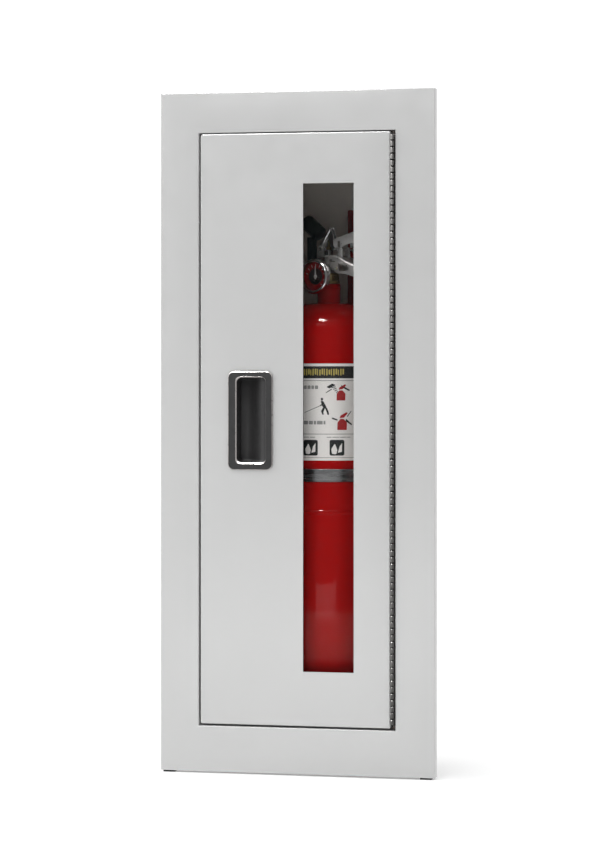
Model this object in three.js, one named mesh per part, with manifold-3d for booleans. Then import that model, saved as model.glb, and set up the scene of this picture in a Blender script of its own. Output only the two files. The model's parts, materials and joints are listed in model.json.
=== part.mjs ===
// A recessed wall cabinet with a windowed steel door, and the fire extinguisher that stands in it.
//
// Millimetres. +X is to the right of someone facing the cabinet, -Y is towards them, +Z is up.
// The origin is the centre of the tub's outer back face, level with the centre of the door opening.
import * as THREE from "three";
import { mergeVertices } from "three/addons/utils/BufferGeometryUtils.js";
import Module from "manifold-3d";

const wasm = await Module();
wasm.setup();

// ---- Driving dimensions -------------------------------------------------------------------------

const OPENING = { width: 206, height: 609.6 }; // the clear opening in the trim, 24 inches high
const TRIM = { side: 40.5, top: 41.5, bottom: 47, lip: 12.7, jamb: 20, sheet: 1.5 };
const FRONT = -142; // the trim's front face
const TUB = { sheet: 1.2, clearance: 0.3 };
const DOOR = { left: -100.9, right: 97.5, bottom: -302.6, top: 303.6, depth: 19, sheet: 1.5, lip: 14 };
const WINDOW = { left: 7.1, right: 59.9, bottom: -247.1, top: 251.6 };
const HINGE = { x: 99.8, proud: 0.4, radius: 2, bore: 1.5, pin: 1, knuckles: 45, leaf: 0.9, depth: 15 };
const PULL = { left: -71.5, right: -24.5, bottom: -41.4, top: 59.6, flange: 2, corner: 5.5, depth: 15 };
const PULL_MOUTH = { left: -62.5, right: -31.5, bottom: -34, top: 53.4, wall: 1.5, corner: 3.5 };
const BOTTLE = { x: 17, y: -62, z: -255.3, radius: 55, wall: 1.5, neck: 12.5 };
const BOTTLE_Z = { seam: 169.5, strap: 201.1, label: 223.2, shoulder: 358.5, collar: 386.5, mouth: 406 };
const STRAP = { gap: 1.2, thick: 1, height: 13.2 };
const LABEL_HEIGHT = 99.8;
const BRACKET = { left: 25, right: 63, back: -1.5, thick: 2, top: 231.2, shelf: -255.6 };
const VALVE_TURN = THREE.MathUtils.degToRad(-24); // the handles point right and a little forward
const GAUGE = { z: 413.6, radius: 18.2, front: 29, back: 19 };
const LEVER_PIVOT = { x: -7.6, z: 443 };
const SAFETY_PIN = { x: 19.8, z: 441.6, radius: 1.1 };
const STEM_RADIUS = 2.9;
const ROUND = 24; // sides of the bottle and all that wraps it
const GAP = 0.3; // between pieces that touch

// ---- Materials ----------------------------------------------------------------------------------

function finish(color, roughness, metalness) {
  return new THREE.MeshStandardMaterial({ color, roughness, metalness });
}

const paint = finish("#c3c7c7", 0.45, 0.1);
const steel = finish("#8d9092", 0.35, 0.9);
const chrome = finish("#e4e4e6", 0.08, 1);
const brass = finish("#8a7440", 0.35, 1);
const red = finish("#9c0508", 0.2, 0.1);
const redPlastic = finish("#b00a12", 0.3, 0);
const charcoal = finish("#37383a", 0.45, 0);
const black = finish("#111111", 0.7, 0);
const rubber = finish("#1b1b1b", 0.85, 0);
const glass = finish("#dfe7e7", 0.03, 0);
glass.transparent = true;
glass.opacity = 0.25;
const paper = finish("#e8e6de", 0.5, 0);

// ---- Solids -------------------------------------------------------------------------------------

function signedVolume(position, index) {
  const a = new THREE.Vector3();
  const b = new THREE.Vector3();
  const c = new THREE.Vector3();
  let sum = 0;
  for (let i = 0; i < index.length; i += 3) {
    a.fromBufferAttribute(position, index[i]);
    b.fromBufferAttribute(position, index[i + 1]);
    c.fromBufferAttribute(position, index[i + 2]);
    sum += a.dot(b.cross(c));
  }
  return sum / 6;
}

// A closed three.js geometry as a manifold-3d solid, turned right side out if its profile ran backwards.
function solid(geometry) {
  const bare = new THREE.BufferGeometry();
  const loose = geometry.index ? geometry.toNonIndexed() : geometry;
  bare.setAttribute("position", loose.getAttribute("position"));
  const merged = mergeVertices(bare, 1e-4);
  const position = merged.getAttribute("position");
  const triVerts = new Uint32Array(merged.index.array);
  if (signedVolume(position, triVerts) < 0) {
    triVerts.reverse();
  }
  return new wasm.Manifold(new wasm.Mesh({ numProp: 3, vertProperties: position.array, triVerts }));
}

function geometryOf(body) {
  const { vertProperties, triVerts, numProp } = body.getMesh();
  const count = vertProperties.length / numProp;
  const xyz = new Float32Array(count * 3);
  for (let i = 0; i < count; i++) {
    xyz.set(vertProperties.subarray(i * numProp, i * numProp + 3), i * 3);
  }
  const geometry = new THREE.BufferGeometry();
  geometry.setAttribute("position", new THREE.BufferAttribute(xyz, 3));
  geometry.setIndex(new THREE.BufferAttribute(triVerts, 1));
  geometry.computeVertexNormals();
  return geometry;
}

function join(...bodies) {
  return bodies.reduce((all, next) => all.add(next));
}

function cut(body, ...tools) {
  return tools.reduce((left, tool) => left.subtract(tool), body);
}

function box(x0, x1, y0, y1, z0, z1) {
  const geometry = new THREE.BoxGeometry(x1 - x0, y1 - y0, z1 - z0);
  geometry.translate((x0 + x1) / 2, (y0 + y1) / 2, (z0 + z1) / 2);
  return solid(geometry);
}

// A ring of sheet: the box outside, less the box inside, both running from y0 to y1.
function boxRing(outer, inner, y0, y1) {
  const hole = box(inner.left, inner.right, y0 - 1, y1 + 1, inner.bottom, inner.top);
  return cut(box(outer.left, outer.right, y0, y1, outer.bottom, outer.top), hole);
}

function grow(frame, by) {
  return {
    left: frame.left - by,
    right: frame.right + by,
    bottom: frame.bottom - by,
    top: frame.top + by,
  };
}

// An outline in X and Z, given in x and y of the shape, extruded from y0 back to y1.
function plate(shape, y0, y1, curveSegments = 3) {
  const geometry = new THREE.ExtrudeGeometry(shape, {
    depth: y1 - y0,
    bevelEnabled: false,
    curveSegments,
  });
  geometry.rotateX(Math.PI / 2);
  geometry.translate(0, y1, 0);
  return solid(geometry);
}

function polygon(points) {
  return new THREE.Shape(points.map(([x, z]) => new THREE.Vector2(x, z)));
}

function roundedRectangle({ left, right, bottom, top }, r) {
  const shape = new THREE.Shape();
  shape.moveTo(left + r, bottom);
  shape.lineTo(right - r, bottom);
  shape.absarc(right - r, bottom + r, r, -Math.PI / 2, 0);
  shape.lineTo(right, top - r);
  shape.absarc(right - r, top - r, r, 0, Math.PI / 2);
  shape.lineTo(left + r, top);
  shape.absarc(left + r, top - r, r, Math.PI / 2, Math.PI);
  shape.lineTo(left, bottom + r);
  shape.absarc(left + r, bottom + r, r, Math.PI, 1.5 * Math.PI);
  return shape;
}

// A profile of [radius, z] turned about the Z axis. It starts and ends on the axis, or closes on itself.
function turned(profile, sides = ROUND) {
  const points = profile.map(([r, z]) => new THREE.Vector2(r, z));
  const geometry = new THREE.LatheGeometry(points, sides);
  geometry.rotateX(Math.PI / 2);
  return solid(geometry);
}

function disc(radius, z0, z1, sides = ROUND) {
  return turned([[0, z0], [radius, z0], [radius, z1], [0, z1]], sides);
}

function tube(inner, outer, z0, z1, sides = ROUND) {
  return turned([[inner, z0], [outer, z0], [outer, z1], [inner, z1], [inner, z0]], sides);
}

// A Z-axis solid laid along -Y, with its z = 0 at height z.
function forward(body, x = 0, z = 0) {
  return body.rotate([90, 0, 0]).translate([x, 0, z]);
}

function add(group, name, body, material) {
  const mesh = new THREE.Mesh(geometryOf(body), material);
  mesh.name = name;
  group.add(mesh);
}

// ---- Cabinet: tub, trim and fixings -------------------------------------------------------------

const opening = {
  left: -OPENING.width / 2,
  right: OPENING.width / 2,
  bottom: -OPENING.height / 2,
  top: OPENING.height / 2,
};
const trimEdge = {
  left: opening.left - TRIM.side,
  right: opening.right + TRIM.side,
  bottom: opening.bottom - TRIM.bottom,
  top: opening.top + TRIM.top,
};
const wallPlane = FRONT + TRIM.lip;
const screwHeights = [205, 60, -210];
const screwX = (BRACKET.left + BRACKET.right) / 2;

function trimFrame() {
  const face = boxRing(trimEdge, opening, FRONT, FRONT + TRIM.sheet);
  const lip = boxRing(trimEdge, grow(trimEdge, -TRIM.sheet), FRONT, wallPlane);
  const jamb = boxRing(grow(opening, TRIM.sheet), opening, FRONT, FRONT + TRIM.jamb);
  return join(face, lip, jamb);
}

function tubShell() {
  const inside = grow(opening, TRIM.sheet + TUB.clearance);
  const outside = grow(inside, TUB.sheet);
  const front = FRONT + TRIM.sheet + GAP;
  const block = box(outside.left, outside.right, front, 0, outside.bottom, outside.top);
  const hollow = box(inside.left, inside.right, front - 1, -TUB.sheet, inside.bottom, inside.top);
  const holes = screwHeights.map((z) => forward(disc(2.2, -1, 10, 8), screwX, z));
  return cut(block, hollow, ...holes);
}

function panScrew(z) {
  const shank = disc(1.8, 0.4, 4.2, 8);
  const head = turned([[0, 3.8], [3.8, 3.8], [3.8, 4.8], [2.4, 6], [0, 6.2]], 8);
  return forward(join(shank, head), screwX, z);
}

function footPad(x) {
  const top = trimEdge.bottom - 0.2;
  const outline = roundedRectangle({ left: x - 6, right: x + 6, bottom: top - 1.5, top }, 0.5);
  return plate(outline, FRONT + 2, wallPlane - 1, 1);
}

function buildCabinet(group) {
  add(group, "tub_shell", tubShell(), paint);
  add(group, "trim_frame", trimFrame(), paint);
  add(group, "foot_pad_left", footPad(-135), rubber);
  add(group, "foot_pad_right", footPad(134), rubber);
  const magnet = box(-104.5, -88, FRONT + 20.8, FRONT + 34, -20, 20);
  add(group, "catch_magnet", magnet, black);
}

// ---- Continuous hinge ---------------------------------------------------------------------------

const hingeY = FRONT - HINGE.proud;
const hingeBottom = DOOR.bottom + 3;
const hingePitch = (DOOR.top - DOOR.bottom - 6) / HINGE.knuckles;

// One leaf: every second knuckle, each tied by a short web to a long plate behind the barrel.
function hingeLeaf(first, side) {
  const outerX = HINGE.x + side * HINGE.radius;
  const innerX = outerX - side * HINGE.leaf;
  const x0 = Math.min(outerX, innerX);
  const x1 = Math.max(outerX, innerX);
  const plateFront = hingeY + HINGE.radius + 0.4;
  const top = hingeBottom + HINGE.knuckles * hingePitch;
  let leaf = box(x0, x1, plateFront, hingeY + HINGE.depth, hingeBottom, top);
  const length = hingePitch - GAP;
  const barrel = disc(HINGE.radius, 0, length, 6);
  const bore = disc(HINGE.bore, -1, length + 1, 4);
  const web = box(x0 - HINGE.x, x1 - HINGE.x, 0, plateFront - hingeY + 0.2, 0, length);
  const knuckle = cut(join(barrel, web), bore);
  for (let i = first; i < HINGE.knuckles; i += 2) {
    const z = hingeBottom + i * hingePitch + GAP / 2;
    leaf = leaf.add(knuckle.translate([HINGE.x, hingeY, z]));
  }
  return leaf;
}

function buildHingeFrameSide(group) {
  const top = hingeBottom + HINGE.knuckles * hingePitch;
  add(group, "hinge_leaf_frame", hingeLeaf(0, 1), steel);
  const pin = disc(HINGE.pin, hingeBottom - 0.5, top + 0.5, 6).translate([HINGE.x, hingeY, 0]);
  add(group, "hinge_pin", pin, steel);
  const x0 = HINGE.x + HINGE.radius + 0.15;
  const shim = box(x0, opening.right - 0.15, FRONT + 4, FRONT + 14, hingeBottom, top);
  add(group, "hinge_shim", shim, steel);
}

// ---- Door ---------------------------------------------------------------------------------------

const doorBack = FRONT + DOOR.depth;
const doorSkinBack = FRONT + DOOR.sheet;
const pullHole = grow(PULL_MOUTH, PULL_MOUTH.wall + 0.5);

function doorPanel() {
  const outline = roundedRectangle(DOOR, 2.5);
  const inside = grow(DOOR, -DOOR.sheet);
  const mouth = grow(DOOR, -DOOR.lip);
  const hollow = box(
    inside.left, inside.right, doorSkinBack, doorBack - DOOR.sheet, inside.bottom, inside.top,
  );
  const rear = box(mouth.left, mouth.right, FRONT + 5, doorBack + 1, mouth.bottom, mouth.top);
  const view = box(WINDOW.left, WINDOW.right, FRONT - 1, FRONT + 5, WINDOW.bottom, WINDOW.top);
  const pull = plate(roundedRectangle(pullHole, PULL_MOUTH.corner + 2), FRONT - 1, FRONT + 5);
  return cut(plate(outline, FRONT, doorBack), hollow, rear, view, pull);
}

function pullCup() {
  const flange = plate(roundedRectangle(PULL, PULL.corner), FRONT - PULL.flange - GAP, FRONT - GAP);
  const outside = roundedRectangle(grow(PULL_MOUTH, PULL_MOUTH.wall), PULL_MOUTH.corner + 1.5);
  const cup = plate(outside, FRONT - 1, FRONT + PULL.depth);
  const mouth = roundedRectangle(PULL_MOUTH, PULL_MOUTH.corner);
  const hollow = plate(mouth, FRONT - 5, FRONT + PULL.depth - PULL_MOUTH.wall);
  return cut(join(flange, cup), hollow);
}

function pullClamp() {
  const y0 = doorSkinBack + GAP;
  const inner = roundedRectangle(grow(PULL_MOUTH, PULL_MOUTH.wall + 0.3), PULL_MOUTH.corner + 1.8);
  const ring = plate(roundedRectangle(grow(PULL_MOUTH, 7), 6), y0, y0 + 2);
  return cut(ring, plate(inner, y0 - 1, y0 + 3));
}

function buildDoor(group) {
  add(group, "door_panel", doorPanel(), paint);
  add(group, "hinge_leaf_door", hingeLeaf(1, -1), steel);
  add(group, "pull_cup", pullCup(), charcoal);
  add(group, "pull_clamp", pullClamp(), steel);
  const gasket0 = doorSkinBack + GAP;
  const pane0 = gasket0 + 1.5 + GAP;
  const retainer0 = pane0 + 3 + GAP;
  add(group, "window_gasket", boxRing(grow(WINDOW, 7), WINDOW, gasket0, gasket0 + 1.5), rubber);
  const pane = grow(WINDOW, 6);
  add(group, "window_pane", box(pane.left, pane.right, pane0, pane0 + 3, pane.bottom, pane.top), glass);
  const retainer = boxRing(grow(WINDOW, 9), grow(WINDOW, 2), retainer0, retainer0 + 1.5);
  add(group, "window_retainer", retainer, steel);
  add(group, "catch_plate", box(-98.5, -88, doorBack + GAP, doorBack + 1.5, -22, 22), steel);
}

// ---- Bracket and strap --------------------------------------------------------------------------

function bracketPlate() {
  const waist = BOTTLE.z + BOTTLE_Z.strap + 40;
  const outline = polygon([
    [-20, BRACKET.shelf - 2],
    [BRACKET.right, BRACKET.shelf - 2],
    [BRACKET.right, BRACKET.top],
    [BRACKET.left + 2, BRACKET.top],
    [BRACKET.left, BRACKET.top - 2],
    [BRACKET.left, waist + 12],
    [BRACKET.left - 12, waist],
    [-20, waist],
  ]);
  const holes = screwHeights.map((z) => forward(disc(2.2, -1, 10, 8), screwX, z));
  return cut(plate(outline, BRACKET.back - BRACKET.thick, BRACKET.back), ...holes);
}

// The shelf under the bottle, with a low lip in front of it and a foot against the back plate.
function bracketShelf() {
  const back = BRACKET.back - BRACKET.thick - GAP;
  const front = BOTTLE.y - BOTTLE.radius - 2.6;
  const x0 = BOTTLE.x - 22;
  const x1 = BOTTLE.x + 22;
  const floor = box(x0, x1, front, back, BRACKET.shelf - 2, BRACKET.shelf);
  const lip = box(x0, x1, front, front + 1.8, BRACKET.shelf - 2, BRACKET.shelf + 3);
  const foot = box(x0, x1, back - 2, back, BRACKET.shelf - 30, BRACKET.shelf);
  return join(floor, lip, foot);
}

function strapBand() {
  const z0 = BOTTLE.z + BOTTLE_Z.strap;
  const inner = BOTTLE.radius + STRAP.gap;
  const outer = inner + STRAP.thick;
  const ring = tube(inner, outer, 0, STRAP.height).translate([BOTTLE.x, BOTTLE.y, z0]);
  const bore = disc(inner + 0.2, -1, STRAP.height + 1).translate([BOTTLE.x, BOTTLE.y, z0]);
  const back = BRACKET.back - BRACKET.thick - GAP;
  const saddle = box(BOTTLE.x - 14, BOTTLE.x + 14, BOTTLE.y + 40, back, z0, z0 + STRAP.height);
  return join(ring, cut(saddle, bore));
}

const latchX = BOTTLE.x + BOTTLE.radius + STRAP.gap + STRAP.thick + GAP;

function latchPost() {
  const z0 = BOTTLE.z + BOTTLE_Z.strap;
  const block = box(latchX, latchX + 5, BOTTLE.y + 2, BOTTLE.y + 10, z0, z0 + STRAP.height);
  const notch = box(latchX + 1.2, latchX + 6, BOTTLE.y + 1, BOTTLE.y + 11, z0 + 2, z0 + STRAP.height - 2);
  const pivot = disc(0.9, 1, STRAP.height - 1, 8).translate([latchX + 3, BOTTLE.y + 6, z0]);
  return join(cut(block, notch), pivot);
}

function strapLatch() {
  const z0 = BOTTLE.z + BOTTLE_Z.strap + 2 + GAP;
  const z1 = BOTTLE.z + BOTTLE_Z.strap + STRAP.height - 2 - GAP;
  const arm = box(latchX + 2.2, latchX + 3.8, BOTTLE.y - 20, BOTTLE.y + 5, z0, z1);
  const tip = box(latchX + 2.2, latchX + 6, BOTTLE.y - 20, BOTTLE.y - 18.4, z0, z1);
  const eye = disc(1.6, z0, z1, 8).translate([latchX + 3, BOTTLE.y + 6, 0]);
  const bore = disc(1.1, z0 - 1, z1 + 1, 8).translate([latchX + 3, BOTTLE.y + 6, 0]);
  return cut(join(arm, tip, eye), bore);
}

function buildBracket(group) {
  add(group, "bracket_plate", bracketPlate(), red);
  add(group, "bracket_shelf", bracketShelf(), red);
  add(group, "strap_band", strapBand(), steel);
  add(group, "strap_latch_post", latchPost(), steel);
  add(group, "strap_latch", strapLatch(), steel);
  screwHeights.forEach((z, i) => add(group, `bracket_screw_${i + 1}`, panScrew(z), steel));
}

// ---- Bottle, in its own frame: Z up its axis from the base --------------------------------------

// A quarter ellipse from the straight wall in to the neck.
function shoulderArc(radius, neck, z0, z1, steps) {
  const points = [];
  for (let i = 0; i <= steps; i++) {
    const t = (i / steps) * (Math.PI / 2);
    points.push([neck + (radius - neck) * Math.cos(t), z0 + (z1 - z0) * Math.sin(t)]);
  }
  return points;
}

function bottleShell() {
  const { radius, wall, neck } = BOTTLE;
  const { seam, shoulder, collar, mouth } = BOTTLE_Z;
  const outside = [
    [0, 7], [30, 4.5], [42, 0.6], [47, 0], [51.5, 1.3], [54.2, 4.2], [radius, 8.5],
    [radius, seam - 2], [radius + 0.8, seam - 1], [radius + 0.8, seam + 1], [radius, seam + 2],
    ...shoulderArc(radius, neck, shoulder, collar, 6),
    [neck, mouth],
  ];
  const inside = [
    [neck - 2, mouth],
    ...shoulderArc(radius - wall, neck - 2, shoulder, collar - wall, 5).reverse(),
    [radius - wall, 9.5], [51, 3.6], [46, 2], [30, 6.5], [0, 9],
  ];
  return turned([...outside, ...inside]);
}

function labelSleeve() {
  const inner = BOTTLE.radius + 0.15;
  return tube(inner, inner + 0.35, BOTTLE_Z.label, BOTTLE_Z.label + LABEL_HEIGHT);
}

function buildBottle(group) {
  add(group, "cylinder_shell", bottleShell(), red);
  add(group, "label_sleeve", labelSleeve(), paper);
  add(group, "siphon_tube", tube(3.6, 5.2, 16, 377.6, 10), black);
  add(group, "neck_seal", tube(8.95, 10.15, 398, 400, 12), rubber);
}

// ---- Valve, in a frame turned about the bottle's axis: +X along the handles, -Y to the gauge ----

const GRIP_END = 84;
const CHEEK = 1.6;

function pair(shape, innerY, thick = CHEEK) {
  return [plate(shape, innerY, innerY + thick), plate(shape, -innerY - thick, -innerY)];
}

function across(x, z, radius, y0, y1, sides = 10) {
  return disc(radius, -y1, -y0, sides).rotate([90, 0, 0]).translate([x, 0, z]);
}

// A Z-axis disc laid along X at height z.
function along(z, radius, x0, x1, sides = 10) {
  return disc(radius, x0, x1, sides).rotate([0, 90, 0]).translate([0, 0, z]);
}

const OUTLET = { z: 428, rise: -22 }; // the port's height, and where the elbow turns up

function valveBody() {
  const outside = turned([
    [0, 378], [8.6, 378], [8.6, 406.4], [11.4, 406.4], [11.4, 409.4], [10.6, 410.4],
    [10.6, 420], [9.4, 421], [9.4, 434], [4.2, 434], [4.2, 442], [0, 442],
  ], 16);
  const port = across(0, GAUGE.z, 5, -18.6, 0, 10);
  const outlet = along(OUTLET.z, 5.5, -14.5, 0);
  const bore = disc(STEM_RADIUS + 0.4, 390, 450, 10);
  const chamber = disc(6.2, 370, 396, 10);
  const gaugeWay = across(0, GAUGE.z, 1.6, -20, 0, 6);
  const nozzleWay = along(OUTLET.z, 2.6, -20, 0, 8);
  return cut(join(outside, port, outlet), bore, chamber, gaugeWay, nozzleWay);
}

function valveStem() {
  return turned([
    [0, 391], [5, 391], [5, 394.2], [STEM_RADIUS, 395.4], [STEM_RADIUS, 444.4], [1.2, 446], [1.2, 452],
    [0, 452],
  ], 10);
}

function valveSpring() {
  return tube(4, 5.4, 379, 387, 10);
}

// A channel open below, on a rear saddle with two ears for the pivot and two more for the safety pin.
function carryHandle() {
  const cheek = polygon([
    [7.6, 436], [7.6, 430], [12, 421.4], [20, 417], [28, 416.2], [34, 414.8], [41, 412.6], [60, 409.6],
    [GRIP_END, 408.6], [GRIP_END, 419.4], [60, 421.6], [41, 425.4], [29, 430.2], [21, 434.2], [16, 436],
  ]);
  const web = polygon([
    [7.6, 434.4], [15.6, 434.4], [20.4, 432.7], [28.4, 428.7], [40.6, 423.8], [59.8, 420], [GRIP_END, 417.8],
    [GRIP_END, 419.4], [60, 421.6], [41, 425.4], [29, 430.2], [21, 434.2], [16, 436], [7.6, 436],
  ]);
  const pivotEar = polygon([
    [-12, 434.4], [-3.8, 434.4], [-4.2, 443], [-5.8, 446.6], [-9.4, 446.6], [-11.4, 443],
  ]);
  const pinEar = polygon([[17, 433.4], [22.6, 432.6], [22.6, 443], [21.4, 444.4], [18.2, 444.4], [17, 443]]);
  const slot = polygon([[20, 427.4], [33, 423.2], [35, 420.8], [31, 419], [22, 419.4]]);
  const saddle = join(disc(9.4, 434.4, 436), box(-12, 8, -4.8, 4.8, 434.4, 436));
  const ears = [...pair(pivotEar, 3.4, 1.4), ...pair(pinEar, 5.6, 1.4)];
  const body = join(...pair(cheek, 10.4), plate(web, -10.6, 10.6), saddle, ...ears);
  const collar = disc(5, 430, 442, 16);
  const pivot = across(LEVER_PIVOT.x, LEVER_PIVOT.z, 1.7, -20, 20);
  const pinHole = across(SAFETY_PIN.x, SAFETY_PIN.z, SAFETY_PIN.radius + 0.3, -20, 20);
  return cut(body, collar, pivot, pinHole, plate(slot, -20, -10), plate(slot, 10, 20));
}

// A channel open below, whose rear end is two close A-shaped plates with feet on the pivot.
function operatingLever() {
  const cheek = polygon([
    [12.6, 453], [13.4, 445.6], [15.6, 444], [22.3, 443.7], [25.6, 445], [29.3, 446.4], [33, 447.3],
    [37.2, 447.8], [44, 448.6], [GRIP_END, 458.6], [GRIP_END, 467.5], [39, 460.5], [15, 453.7],
  ]);
  const web = polygon([
    [7.4, 449.9], [15, 452.1], [39, 458.9], [GRIP_END, 465.9], [GRIP_END, 467.5], [39, 460.5],
    [15, 453.7], [7.4, 451.5],
  ]);
  const shape = polygon([
    [-11.2, 442], [-10, 439.6], [-7.4, 438.9], [-5.2, 440.2], [-4.9, 442.6], [0.8, 454.5], [6.2, 441.4], [9.6, 441.4],
    [10.4, 443], [8.8, 452], [5, 465.2], [2.6, 465.2], [-10.4, 445.6],
  ]);
  const presser = box(-4, 3, -2, 2, 452.3, 454.8);
  const peak = box(2.7, 4.9, -2, 2, 462.4, 465.2);
  const pivot = across(LEVER_PIVOT.x, LEVER_PIVOT.z, 1.7, -20, 20);
  const notch = box(
    SAFETY_PIN.x - 2.2, SAFETY_PIN.x + 1.5, -20, 20, SAFETY_PIN.z - 4, SAFETY_PIN.z + 9.2,
  );
  const body = join(...pair(cheek, 8.2), plate(web, -8.4, 8.4), ...pair(shape, 1.8, 1.2), presser, peak);
  return cut(body, pivot, notch);
}

function pivotPin() {
  const shank = across(LEVER_PIVOT.x, LEVER_PIVOT.z, 1.4, -5.2, 5.2);
  const head = across(LEVER_PIVOT.x, LEVER_PIVOT.z, 2.8, -6.2, -5);
  const tail = across(LEVER_PIVOT.x, LEVER_PIVOT.z, 2.3, 5, 6.2);
  return join(shank, head, tail);
}

const EYE_Y = 17.5;

function safetyPin() {
  const shank = across(SAFETY_PIN.x, SAFETY_PIN.z, SAFETY_PIN.radius, -13, EYE_Y - 2.4);
  const eye = disc(3, -1, 1, 12).rotate([0, 90, 0]).translate([SAFETY_PIN.x, EYE_Y, SAFETY_PIN.z]);
  const hole = disc(1.7, -4, 4, 8).rotate([0, 90, 0]).translate([SAFETY_PIN.x, EYE_Y, SAFETY_PIN.z]);
  return cut(join(shank, eye), hole);
}

function ring(radius, wire, around, section) {
  const geometry = new THREE.TorusGeometry(radius, wire, section, around);
  return solid(geometry);
}

function pullRing() {
  const radius = 11;
  return ring(radius, 0.8, 16, 6).rotate([90, 0, 0]).translate([SAFETY_PIN.x, EYE_Y, SAFETY_PIN.z - radius]);
}

function gaugeCase() {
  const { radius, back, front } = GAUGE;
  const cup = turned([
    [0, back], [radius - 4, back], [radius - 1.4, back + 2], [radius - 1.4, front - 2],
    [radius - 2.6, front - 2], [radius - 2.6, back + 3], [0, back + 3],
  ]);
  return forward(cup, 0, GAUGE.z);
}

function gaugeBezel() {
  const { radius, back, front } = GAUGE;
  const rim = turned([
    [radius - 1.1, back + 3], [radius, back + 3], [radius, front - 1], [radius - 1, front],
    [radius - 3, front - 0.4], [radius - 3, front - 1.6], [radius - 1.1, front - 1.6],
    [radius - 1.1, back + 3],
  ]);
  return forward(rim, 0, GAUGE.z);
}

function buildGauge(group) {
  const { radius, back, front } = GAUGE;
  add(group, "gauge_case", gaugeCase(), steel);
  add(group, "gauge_bezel", gaugeBezel(), chrome);
  const dial = tube(1, radius - 3, back + 3.3, back + 4.3, 16);
  add(group, "gauge_dial", forward(dial, 0, GAUGE.z), redPlastic);
  const lens = disc(radius - 3.1, front - 3.2, front - 1.9);
  add(group, "gauge_lens", forward(lens, 0, GAUGE.z), glass);
  const hub = disc(1.8, back + 4.6, back + 5.8, 8);
  const shank = disc(0.7, back + 3.2, back + 5, 8);
  const hand = box(-0.7, 0.7, -2, 10.5, back + 4.7, back + 5.4);
  add(group, "gauge_needle", forward(join(hub, shank, hand), 0, GAUGE.z), black);
}

// Pieces on the nozzle's line, which points away from the handles and rises 37 degrees.
function onNozzleLine(body) {
  return body.rotate([0, -53, 0]).translate([1.8, 0, 448.8]);
}

function nozzleHorn() {
  const profile = [
    [0, 15], [7.2, 15], [8.2, 16.4], [8.2, 39], [7.4, 39.8], [6, 39.8], [3.2, 30], [3.2, 20], [0, 20],
  ];
  const riser = disc(2.6, 440, 466, 8).translate([OUTLET.rise, 0, 0]);
  return cut(onNozzleLine(turned(profile, 16)), riser);
}

function nozzleElbow() {
  const run = along(OUTLET.z, 5.5, OUTLET.rise, -14.8);
  const riser = disc(5, OUTLET.z - 4, 470, 10).translate([OUTLET.rise, 0, 0]);
  const runBore = along(OUTLET.z, 2.6, OUTLET.rise, -10, 8);
  const riserBore = disc(2.6, OUTLET.z, 480, 8).translate([OUTLET.rise, 0, 0]);
  const seat = onNozzleLine(disc(8.5, 0, 60, 16));
  return cut(join(run, riser), runBore, riserBore, seat);
}

function buildValve(group) {
  add(group, "valve_body", valveBody(), brass);
  add(group, "valve_stem", valveStem(), brass);
  add(group, "valve_spring", valveSpring(), steel);
  add(group, "carry_handle", carryHandle(), chrome);
  add(group, "operating_lever", operatingLever(), chrome);
  add(group, "lever_pivot_pin", pivotPin(), steel);
  add(group, "safety_pin", safetyPin(), steel);
  add(group, "pull_ring", pullRing(), steel);
  add(group, "nozzle_elbow", nozzleElbow(), black);
  add(group, "nozzle_horn", nozzleHorn(), black);
  buildGauge(group);
}

// ---- Assembly -----------------------------------------------------------------------------------

const object = new THREE.Group();
const cabinet = new THREE.Group();
const door = new THREE.Group();
const bottle = new THREE.Group();
const valve = new THREE.Group();

buildCabinet(cabinet);
buildHingeFrameSide(cabinet);
buildBracket(cabinet);
buildDoor(door);
buildBottle(bottle);
buildValve(valve);

valve.rotation.z = VALVE_TURN;
bottle.position.set(BOTTLE.x, BOTTLE.y, BOTTLE.z);
bottle.add(valve);
object.add(cabinet, door, bottle);

export default object;
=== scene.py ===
import json
import math

import bmesh
import bpy
from mathutils import Matrix, Vector


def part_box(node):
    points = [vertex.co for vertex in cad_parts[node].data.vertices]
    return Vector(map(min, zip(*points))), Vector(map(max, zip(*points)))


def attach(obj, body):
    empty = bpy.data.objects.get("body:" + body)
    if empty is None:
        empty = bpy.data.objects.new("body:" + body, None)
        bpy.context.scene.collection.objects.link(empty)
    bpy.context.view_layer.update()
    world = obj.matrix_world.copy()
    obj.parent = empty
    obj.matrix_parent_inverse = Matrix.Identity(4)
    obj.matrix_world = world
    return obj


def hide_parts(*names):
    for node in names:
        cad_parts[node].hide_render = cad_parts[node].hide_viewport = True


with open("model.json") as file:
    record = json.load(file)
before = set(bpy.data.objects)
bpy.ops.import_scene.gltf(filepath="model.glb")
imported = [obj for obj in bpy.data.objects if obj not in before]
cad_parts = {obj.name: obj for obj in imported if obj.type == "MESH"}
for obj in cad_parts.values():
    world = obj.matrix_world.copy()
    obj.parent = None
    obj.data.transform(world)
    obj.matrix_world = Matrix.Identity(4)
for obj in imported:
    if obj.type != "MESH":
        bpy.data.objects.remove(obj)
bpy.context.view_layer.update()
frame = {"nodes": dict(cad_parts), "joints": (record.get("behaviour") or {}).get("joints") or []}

# Lengths below are in millimetres; a mesh is scaled to metres when it is made.
MM = 0.001
GAP = 0.3


def box_mm(node):
    low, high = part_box(node)
    return low / MM, high / MM


def joint(name):
    return next(j for j in frame["joints"] if j["name"] == name)


# ---- Driving dimensions, from the frame where it has them ----

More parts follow.
